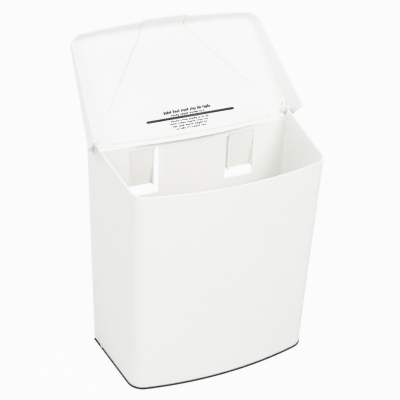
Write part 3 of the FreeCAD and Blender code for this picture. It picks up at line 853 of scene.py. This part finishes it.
# ---------------------------------------------------------------- the lid
@dataclass
class Lid:
    """The lid, in its own frame: x across, y to the wall, z out of its top, origin on the hinge."""

    hinge: Point = (0.0, HINGE_Y, HINGE_Z)
    open_angle: float = 46.6
    plan: Outline = Outline(9.0, 135.5, 5.2, 17.0, 1010.0, 137.04)
    wall: float = 2.1
    top_face: float = 6.4
    crown_slope: float = 2.0
    facet_half: float = 123.0
    crease_half: float = 28.0
    crease_softness: float = 0.10
    ridge_softness: float = 2.0
    shoulder: float = 8.0
    skirt_rear: float = 29.5
    skirt_rise: float = 8.9
    tab_half: float = 28.0
    tab_drop: float = 5.0
    tab_ramp: float = 3.0
    lip_half: float = 112.0
    lip_rise: float = 5.6
    slot_inner: float = 125.75
    slot_outer: float = 131.0
    slot_reach: float = 14.4
    slot_blend: float = 20.0
    first_inset: float = 2.4
    last_inset: float = 9.0
    lug_radius: float = 4.6
    lug_rise: float = 5.3
    lug_span: tuple[float, float] = (122.73, 125.13)
    boss_radius: float = 4.2
    boss_span: tuple[float, float] = (129.86, 133.4)
    fine_edge: float = 0.4
    edge: float = 0.8
    shoulder_ladder: tuple[float, ...] = (0.0, 0.05, 0.15, 0.35, 0.62, 1.0)
    roof_ladder: tuple[float, ...] = (0.2, 0.4, 0.6, 0.8, 1.0)
    skirt_rows: int = 8
    slot_steps: int = 7
    side_steps: int = 30
    corner_steps: int = 16
    front_steps: int = 40

    def placement(self) -> Matrix:
        """Gives the open lid's place, as the matrix from its own frame, in metres."""
        turn = Matrix.Rotation(math.radians(180 + self.open_angle), 4, "X")
        return Matrix.Translation(Vector(self.hinge) * MM) @ turn

    def roof(self, x: np.ndarray, y: np.ndarray) -> np.ndarray:
        """Works out the outer face's height: a middle facet and two that fall to the sides, gently creased.

        Args:
            x: places across.
            y: places along, negative in front of the hinge.

        Returns:
            The heights.
        """
        rise = math.tan(math.radians(self.crown_slope))
        fall = rise * self.plan.reach / (self.facet_half - self.crease_half)
        middle = self.top_face - rise * y
        side = self.top_face + fall * (self.facet_half - np.sqrt(x * x + self.ridge_softness ** 2))
        near = np.clip(self.crease_softness - abs(middle - side), 0, None)
        return np.minimum(middle, side) - near ** 2 / (4 * self.crease_softness)

    def free_edge(self, x: np.ndarray, y: np.ndarray) -> np.ndarray:
        """Works out the height of the skirt's free edge, which is lower at the grip tab.

        Args:
            x: places across.
            y: places along, negative in front of the hinge.

        Returns:
            The heights.
        """
        level = -self.skirt_rear - y * math.tan(math.radians(self.skirt_rise))
        share = np.clip((self.tab_half + self.tab_ramp / 2 - abs(x)) / self.tab_ramp, 0, 1)
        step = share * share * (3 - 2 * share)
        return level - np.where(y < -self.plan.reach / 2, step, 0) * self.tab_drop

    def skin(self) -> bpy.types.Object:
        """Builds the roof, its shoulders and the skirt as one skin and thickens it.

        Returns:
            The object, in the lid's own frame.
        """
        run, _, _ = self.plan.parts()
        slot_share = (self.slot_reach + self.plan.rear) / (run * math.cos(math.radians(self.plan.taper)))
        side = spread(self.slot_steps + 1, 0.0, slot_share) + spread(self.side_steps, slot_share, 1.0)[1:]
        points, normals = self.plan.whole(side, self.corner_steps, self.front_steps)
        depth = -points[:, 1]
        blend = np.clip((depth - self.slot_reach) / self.slot_blend, 0, 1)
        outer_cut = (abs(points[:, 0]) - self.slot_outer) * (1 - blend) + self.first_inset * blend
        inner_cut = (abs(points[:, 0]) - self.slot_inner) * (1 - blend) + self.last_inset * blend
        on_side = depth < self.slot_reach + self.slot_blend
        outer_cut = np.where(on_side, outer_cut, self.first_inset)
        inner_cut = np.where(on_side, inner_cut, self.last_inset)
        inset_normal = normals.copy()
        inset_normal[on_side] = np.sign(points[on_side, :1]) * np.array([[1.0, 0.0]])
        soft = blend[:, None]
        inset_normal = np.where(on_side[:, None], inset_normal * (1 - soft) + normals * soft, normals)

        def moved(inset: np.ndarray) -> np.ndarray:
            """Moves the outline's points inward."""
            return points - inset_normal * inset[:, None]

        ring = moved(inner_cut)
        ring_height = self.roof(ring[:, 0], ring[:, 1])
        insets = [outer_cut * share for share in self.shoulder_ladder]
        insets += [outer_cut + (inner_cut - outer_cut) * share for share in self.roof_ladder]
        free = self.free_edge(points[:, 0], points[:, 1])
        shoulder_foot = ring_height - self.shoulder
        rows = [np.column_stack([points, free + (shoulder_foot - free) * share])
                for share in spread(self.skirt_rows + 1)[:-1]]
        first_cut = len(rows) + len(self.shoulder_ladder) - 1
        for inset in insets:
            near = np.clip(self.shoulder - inset, 0, self.shoulder)
            drop = self.shoulder - np.sqrt(self.shoulder ** 2 - near ** 2)
            plan = moved(inset)
            here = np.where(inset < self.shoulder, ring_height, self.roof(plan[:, 0], plan[:, 1]))
            rows.append(np.column_stack([plan, here - drop]))
        last_cut = len(rows) - 1
        columns = len(points) - 1

        def solid(i: int, j: int) -> bool:
            """Tells whether the cell in row i, column j is made: the slots for the ears stay open."""
            at_hinge = j < self.slot_steps or j >= columns - self.slot_steps
            return not (at_hinge and first_cut <= i < last_cut)

        skin = Skin()
        skin.grid(np.array(rows)[:, ::-1], lambda i, j: solid(i, columns - 1 - j))
        rear, front, left, right = borders(ring, len(side) - 1 + self.corner_steps // 2)
        arch = np.clip(1 - (rear[:, 0] / self.lip_half) ** 2, 0, 1)
        rear[:, 1] += self.lip_rise * arch
        roof = patch(rear, front, left, right)
        top = np.dstack([roof, self.roof(roof[..., 0], roof[..., 1])])
        skin.grid(top[:, ::-1])
        piece = skin.build("lid_shell")
        shell(piece, self.wall, self.edge)
        return piece

    def lugs(self) -> list[bpy.types.Object]:
        """Builds the two lugs under the roof that turn on the pins.

        Returns:
            The objects, in the lid's own frame.
        """
        radius = self.lug_radius
        arc = [(radius * math.cos(a), radius * math.sin(a)) for a in np.linspace(math.pi, 2 * math.pi, 17)]
        outline = arc + [(radius, self.lug_rise), (-radius, self.lug_rise)]
        return pair("lid_lug", outline, self.lug_span, self.fine_edge)

    def bosses(self) -> list[bpy.types.Object]:
        """Builds the two round bosses inside the skirts, which hold the pins' ends.

        Returns:
            The objects, in the lid's own frame.
        """
        radius = self.boss_radius
        outline = [(radius * math.cos(a), radius * math.sin(a)) for a in np.linspace(0, 2 * math.pi, 33)[:-1]]
        return pair("lid_boss", outline, self.boss_span, self.fine_edge)

    def build(self, material: bpy.types.Material) -> None:
        """Builds and dresses the lid's pieces, which stand for the CAD lid.

        Args:
            material: the lid's plastic.
        """
        for piece in [self.skin(), *self.lugs(), *self.bosses()]:
            piece.data.transform(self.placement())
            dress(piece, material, Body.LID)
            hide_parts("lid")


@dataclass
class LidLines:
    """Fine raised lines inside the lid: the creases, down to the grip tab's corners, and the lip's line, in a
    darker plastic that is painted crease shade.
    """

    lid: Lid
    half_width: float = 1.1
    height: float = 0.55
    root: float = 0.4
    steps: int = 48
    crease_start: tuple[float, float] = (97.5, 35.0)
    crease_bend: tuple[float, float] = (29.6, 128.4)
    drift: float = 0.6
    skirt_height: float = 0.12
    skirt_width: float = 0.15
    lip_half: float = 108.0
    lip_start: float = 4.0
    lip_bow: float = 4.5
    sunk: float = 0.05
    taper_points: float = 5.0
    least_taper: float = 0.02
    round_points: int = 7
    bend_points: int = 9
    skirt_points: int = 10

    def inner(self, x: float, forward: float) -> float:
        """Works out the inner face's height, a distance x across and a distance in front of the hinge."""
        return float(self.lid.roof(np.array([x]), np.array([-forward]))[0]) - self.lid.wall

    def crease(self, sign: int) -> tuple[np.ndarray, np.ndarray]:
        """Follows one crease from the roof round the shoulder and down the skirt to the grip tab's corner.

        Args:
            sign: 1 for the right crease, -1 for the left one.

        Returns:
            Points and the inner face's normals there, each of shape (n, 3).
        """
        lid = self.lid
        start, bend = np.array(self.crease_start), np.array(self.crease_bend)
        radius = lid.shoulder - lid.wall
        top = self.inner(bend[0], bend[1])
        points, normals = [], []
        for share in spread(self.steps)[:-1]:
            x, u = start + (bend - start) * share
            points.append((x, -u, self.inner(x, u)))
            normals.append((0.0, 0.0, -1.0))
        for angle in np.radians(spread(self.bend_points, 0.0, 90.0)):
            points.append((bend[0] - self.drift * math.sin(angle), -bend[1] - radius * math.sin(angle),
                           top - radius + radius * math.cos(angle)))
            normals.append((0.0, math.sin(angle), -math.cos(angle)))
        foot = float(lid.free_edge(np.array([0.0]), np.array([-lid.plan.reach]))[0]) + self.drift
        for share in spread(self.skirt_points)[1:]:
            points.append((bend[0] - self.drift - self.drift * share, -bend[1] - radius,
                           top - radius + (foot - top + radius) * share))
            normals.append((0.0, 1.0, 0.0))
        flip = np.array([sign, 1.0, 1.0])
        return np.array(points) * flip, np.array(normals)

    def lip_line(self) -> tuple[np.ndarray, np.ndarray]:
        """Follows the line where the rear lip begins.

        Returns:
            Points and the inner face's normals there, each of shape (n, 3).
        """
        across = np.linspace(-self.lip_half, self.lip_half, self.steps)
        ahead = -self.lip_start - self.lip_bow * (1 - (across / self.lid.lip_half) ** 2)
        points = np.array([(x, -u, self.inner(x, u)) for x, u in zip(across, ahead)])
        return points, np.tile([0.0, 0.0, -1.0], (len(points), 1))

    def thread(self, name: str, path: np.ndarray, normals: np.ndarray) -> bpy.types.Object:
        """Lays a low rounded bead along a path on the inner face.

        Args:
            name: the piece's name.
            path: points of shape (n, 3).
            normals: the face's normals there, of shape (n, 3).

        Returns:
            The object, in the lid's own frame.
        """
        along = np.gradient(path, axis=0)
        across = np.cross(along, -normals)
        across /= np.linalg.norm(across, axis=1)[:, None]
        ends = np.minimum(np.arange(len(path)), np.arange(len(path))[::-1])
        on_roof = np.clip(-normals[:, 2], self.skirt_height, 1)
        taper = (np.clip(ends / self.taper_points, self.least_taper, 1) * on_roof)[:, None]
        half = (self.half_width * (self.skirt_width + (1 - self.skirt_width) * on_roof))[:, None]
        rows = [path + across * half * math.cos(a) + normals * (self.height * math.sin(a) * taper - self.sunk)
                for a in np.linspace(0, math.pi, self.round_points)]
        rows += [path + across * half * side - normals * self.root for side in (-1, 1)]
        rows.append(rows[0])
        skin = Skin()
        skin.grid(np.array(rows)[:, ::-1])
        for end in (0, -1):
            ring = [tuple(map(float, row[end])) for row in rows[:-1]]
            base = len(skin.points)
            skin.points.extend(ring)
            order = range(len(ring)) if end == 0 else reversed(range(len(ring)))
            skin.faces.append(tuple(base + i for i in order))
        return skin.build(name, FINE_WELD)

    def build(self, material: bpy.types.Material) -> None:
        """Builds and dresses the lines.

        Args:
            material: the lines' darker plastic, painted crease shade.
        """
        paths = (("lid_crease_right", self.crease(1)), ("lid_crease_left", self.crease(-1)),
                 ("lid_lip_line", self.lip_line()))
        for name, (path, normals) in paths:
            piece = self.thread(name, path, normals)
            piece.data.transform(self.lid.placement())
            dress(piece, material, Body.LID)


@dataclass
class Marking:
    """A generic printed marking inside the lid: one bar between rows of dashes."""

    lid: Lid
    thickness: float = 0.12
    bar: tuple[float, float, float] = (-55.6, 61.2, 13.5)
    bar_height: float = 3.3
    rows: tuple[tuple[float, float, float, float], ...] = (
        (-31.0, 32.0, 21.6, 5.4), (-22.5, 22.8, 17.0, 3.2),
        (-25.0, 27.0, 9.5, 2.7), (-27.0, 25.0, 6.1, 2.7), (-24.0, 23.0, 2.7, 2.7), (-20.0, 20.6, -0.7, 2.7))
    dash: tuple[float, float] = (1.3, 2.4)
    word: tuple[int, int] = (2, 6)
    gap: float = 1.3
    slit: float = 0.25
    tall: tuple[float, float] = (0.62, 0.95)
    jitter: float = 0.1
    sunk: float = 0.05
    least_room: float = 2.0
    round_points: int = 7
    seed: int = 7

    def stroke(self, skin: Skin, start: float, end: float, u: float, height: float) -> None:
        """Adds one round-ended stroke on the lid's inner face.

        Args:
            skin: the mesh to add to.
            start: its first x.
            end: its last x.
            u: its place in front of the hinge.
            height: its width across the stroke.
        """
        half = min(height, end - start) / 2
        rise = height / 2
        outline = [(end - half + half * math.cos(a), u + rise * math.sin(a))
                   for a in np.linspace(-math.pi / 2, math.pi / 2, self.round_points)]
        outline += [(start + half + half * math.cos(a), u + rise * math.sin(a))
                    for a in np.linspace(math.pi / 2, 3 * math.pi / 2, self.round_points)]
        base = len(skin.points)
        count = len(outline)
        for lift in (self.sunk, -self.thickness):
            for x, forward in outline:
                inner = self.lid.roof(np.array([x]), np.array([-forward]))[0] - self.lid.wall
                skin.points.append((x, -forward, float(inner) + lift))
        skin.faces += [tuple(base + i for i in range(count)),
                       tuple(base + count + i for i in reversed(range(count)))]
        skin.faces += [(base + (i + 1) % count, base + i, base + count + i, base + count + (i + 1) % count)
                       for i in range(count)]

    def build(self, material: bpy.types.Material) -> None:
        """Builds and dresses the bar and the dashes.

        Args:
            material: the ink.
        """
        draw = np.random.default_rng(self.seed)
        bar = Skin()
        self.stroke(bar, self.bar[0], self.bar[1], self.bar[2], self.bar_height)
        dashes = Skin()
        for start, end, u, height in self.rows:
            at = start
            while at < end - self.least_room:
                for _ in range(int(draw.integers(*self.word))):
                    length = float(draw.uniform(*self.dash))
                    tall = height * float(draw.uniform(*self.tall))
                    if at + length > end:
                        break
                    shift = float(draw.uniform(-self.jitter, self.jitter)) * height
                    self.stroke(dashes, at, at + length, u + shift, tall)
                    at += length + self.slit
                else:
                    at += self.gap
                    continue
                break
        for skin, name in ((bar, "lid_marking_bar"), (dashes, "lid_marking_dashes")):
            piece = skin.build(name, FINE_WELD)
            piece.data.transform(self.lid.placement())
            dress(piece, material, Body.LID)


@dataclass
class HingePin:
    """A headed pin from inside through the lug and the ear into the boss."""

    side: str
    sign: int
    axis: tuple[float, float] = (HINGE_Y, HINGE_Z)
    start: float = 120.93
    end: float = 133.05
    head: tuple[tuple[float, float], ...] = (
        (0.0, 0.0), (0.0, 1.6), (0.15, 2.6), (0.5, 3.15), (0.9, 3.3), (1.35, 3.28), (1.5, 3.1), (1.5, 2.0))
    tip: tuple[tuple[float, float], ...] = ((0.6, 2.0), (0.15, 1.7), (0.0, 1.3), (0.0, 0.0))
    turn_steps: int = 40

    def build(self, material: bpy.types.Material) -> None:
        """Builds the pin with a domed head and stands it for its CAD node.

        Args:
            material: the pin's plastic.
        """
        profile = [(self.start + x, r) for x, r in self.head] + [(self.end - x, r) for x, r in self.tip]
        angles = np.linspace(0, 2 * math.pi, self.turn_steps + 1)
        y, z = self.axis
        rows = np.array([[(self.sign * x, y + r * math.cos(a), z + r * math.sin(a)) for a in angles]
                         for x, r in profile])
        skin = Skin()
        skin.grid(rows if self.sign < 0 else rows[:, ::-1])
        piece = skin.build(f"hinge_pin_{self.side}_turned", FINE_WELD)
        shade = piece.modifiers.new("shading", "WEIGHTED_NORMAL")
        shade.weight = 60
        dress(piece, material, Body.BIN)
        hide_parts(f"hinge_pin_{self.side}")


# ---------------------------------------------------------------- studio
@dataclass(frozen=True)
class Softbox:
    """One square soft light: its name, place, side and power, and its colour."""

    name: str
    place: Point
    size: float
    watts: float
    colour: Colour = (1.0, 1.0, 1.0)
    aim: Point = (0.0, 0.0, 0.2)

    def hang(self) -> None:
        """Hangs the light."""
        light = bpy.data.lights.new(self.name, "AREA")
        light.shape = "SQUARE"
        light.size = self.size
        light.energy = self.watts
        light.color = self.colour
        lamp = bpy.data.objects.new(self.name, light)
        lamp.location = self.place
        lamp.rotation_euler = (Vector(self.aim) - Vector(self.place)).to_track_quat("-Z", "Y").to_euler()
        bpy.context.scene.collection.objects.link(lamp)


@dataclass
class Studio:
    """A plain pale floor, soft light and the camera."""

    floor_half: float = 60.0
    floor_shade: float = 0.50
    floor_spread: float = 0.01
    floor_cloud: float = 3.0
    floor_detail: float = 2.0
    floor_glow: float = 1.8
    floor_roughness: float = 0.8
    floor_specular: float = 0.2
    # Painted contact shadow round the foot: ring offsets, glow shares, lift and darkest base colour.
    contact_offsets: tuple[float, ...] = (-6.0, -0.3, 0.6, 1.6, 3.0, 5.5)
    contact_glow: tuple[float, ...] = (0.0, 0.0, 0.25, 0.6, 0.87, 1.0)
    contact_lift: float = 0.20
    contact_shade: float = 0.04
    sky: float = 0.45
    boxes: tuple[Softbox, ...] = (
        Softbox("key_front", (0.50, -1.60, 1.85), 1.3, 44.0, (1.0, 1.0, 0.995)),
        Softbox("fill_left", (-1.55, -0.75, 1.75), 1.2, 26.0, (1.0, 1.0, 0.99)),
        Softbox("fill_back", (-0.80, 1.70, 1.30), 1.2, 24.0))
    camera_place: Point = (-0.46143, -0.91189, 0.80172)
    right: Point = (0.9034, -0.4278, 0.0302)
    up: Point = (0.1902, 0.4628, 0.8658)
    forward: Point = (0.3843, 0.7764, -0.4995)
    lens: float = 88.23
    sensor: float = 36.0
    near_limit: float = 0.05

    def glowing(self, name: str) -> tuple[bpy.types.Material, Nodes, bpy.types.Node]:
        """Starts a matt material that glows a little.

        Args:
            name: the material's name.

        Returns:
            The material, its nodes and its shader.
        """
        material = bpy.data.materials.new(name)
        material.use_nodes = True
        shader = material.node_tree.nodes["Principled BSDF"]
        shader.inputs["Roughness"].default_value = self.floor_roughness
        shader.inputs["Specular IOR Level"].default_value = self.floor_specular
        shader.inputs["Emission Strength"].default_value = self.floor_glow
        return material, Nodes(material.node_tree), shader

    def floor(self) -> None:
        """Lays the floor."""
        skin = Skin()
        half = self.floor_half / MM
        line = np.linspace(-half, half, 9)
        skin.grid(np.array([[(x, y, 0.0) for x in line] for y in line]))
        piece = skin.build("studio_floor")
        material, nodes, shader = self.glowing("pale_floor")
        tone = nodes.span(nodes.noise(self.floor_cloud, self.floor_detail), 0.0, 1.0,
                          self.floor_shade - self.floor_spread, self.floor_shade + self.floor_spread)
        sight = nodes.add("ShaderNodeLightPath").outputs["Is Camera Ray"]
        nodes.link(tone, shader.inputs["Base Color"])
        nodes.link(sight, shader.inputs["Emission Color"])
        piece.data.materials.append(material)

    def contact(self, footprint: Outline) -> None:
        """Lays a painted contact shadow: the narrow dark line round the bin's foot on the glowing floor.

        Args:
            footprint: the bin's outline at the floor.
        """
        points, normals = footprint.whole([0.0, 0.5, 1.0], 12, 24)
        lift = np.full(len(points), self.contact_lift)
        rows = [np.column_stack([points + normals * offset, lift]) for offset in self.contact_offsets]
        rows = [np.vstack([row, row[:1]]) for row in rows]
        skin = Skin()
        skin.grid(np.array(rows))
        piece = skin.build("studio_painted_contact_shadow", 0.0)
        layer = piece.data.attributes.new("glow", "FLOAT", "POINT")
        layer.data.foreach_set("value", np.repeat(self.contact_glow, len(rows[0])).astype(np.float32))
        material, nodes, shader = self.glowing("contact_shade")
        share = nodes.add("ShaderNodeAttribute", attribute_name="glow").outputs["Fac"]
        sight = nodes.add("ShaderNodeLightPath").outputs["Is Camera Ray"]
        # Painted shadow: the base colour darkens and the glow fades towards the foot.
        nodes.link(nodes.span(share, 0.0, 1.0, self.contact_shade, self.floor_shade),
                   shader.inputs["Base Color"])
        nodes.link(nodes.maths("MULTIPLY", share, sight), shader.inputs["Emission Color"])
        piece.data.materials.append(material)

    def lights(self) -> None:
        """Sets the white surroundings and hangs the soft lights."""
        world = bpy.data.worlds.new("white_room")
        world.use_nodes = True
        background = world.node_tree.nodes["Background"]
        background.inputs["Color"].default_value = (1.0, 1.0, 1.0, 1.0)
        background.inputs["Strength"].default_value = self.sky
        bpy.context.scene.world = world
        for box in self.boxes:
            box.hang()

    def camera(self) -> None:
        """Sets up the camera."""
        lens = bpy.data.cameras.new("studio_camera")
        lens.sensor_width = self.sensor
        lens.lens = self.lens
        lens.clip_start = self.near_limit
        eye = bpy.data.objects.new("studio_camera", lens)
        turn = Matrix((self.right, self.up, tuple(-c for c in self.forward))).transposed()
        eye.matrix_world = Matrix.Translation(self.camera_place) @ turn.to_4x4()
        bpy.context.scene.collection.objects.link(eye)
        bpy.context.scene.camera = eye

    def build(self, footprint: Outline) -> None:
        """Builds the whole studio.

        Args:
            footprint: the bin's outline at the floor.
        """
        self.floor()
        self.contact(footprint)
        self.lights()
        self.camera()
        bpy.context.scene.view_settings.view_transform = "Khronos PBR Neutral"
        LOG.info("studio: %d soft lights", len(self.boxes))


def main() -> None:
    """Builds the bin's pieces and the studio."""
    logging.basicConfig(level=logging.INFO, format="%(name)s: %(message)s")
    effects = Effects()
    finishes = Finishes()
    lid = Lid()
    lid_plastic = finishes.lid.build(effects)
    pin_plastic = finishes.pin.build(effects)
    bin_body = BinBody()
    bin_body.build(finishes.body.build(effects))
    lid.build(lid_plastic)
    LidLines(lid).build(finishes.line.build(effects))
    Marking(lid).build(finishes.ink.build(effects))
    for side, sign in (("right", 1), ("left", -1)):
        HingePin(side, sign).build(pin_plastic)
    Studio().build(bin_body.base)


if __name__ == "__main__":
    main()
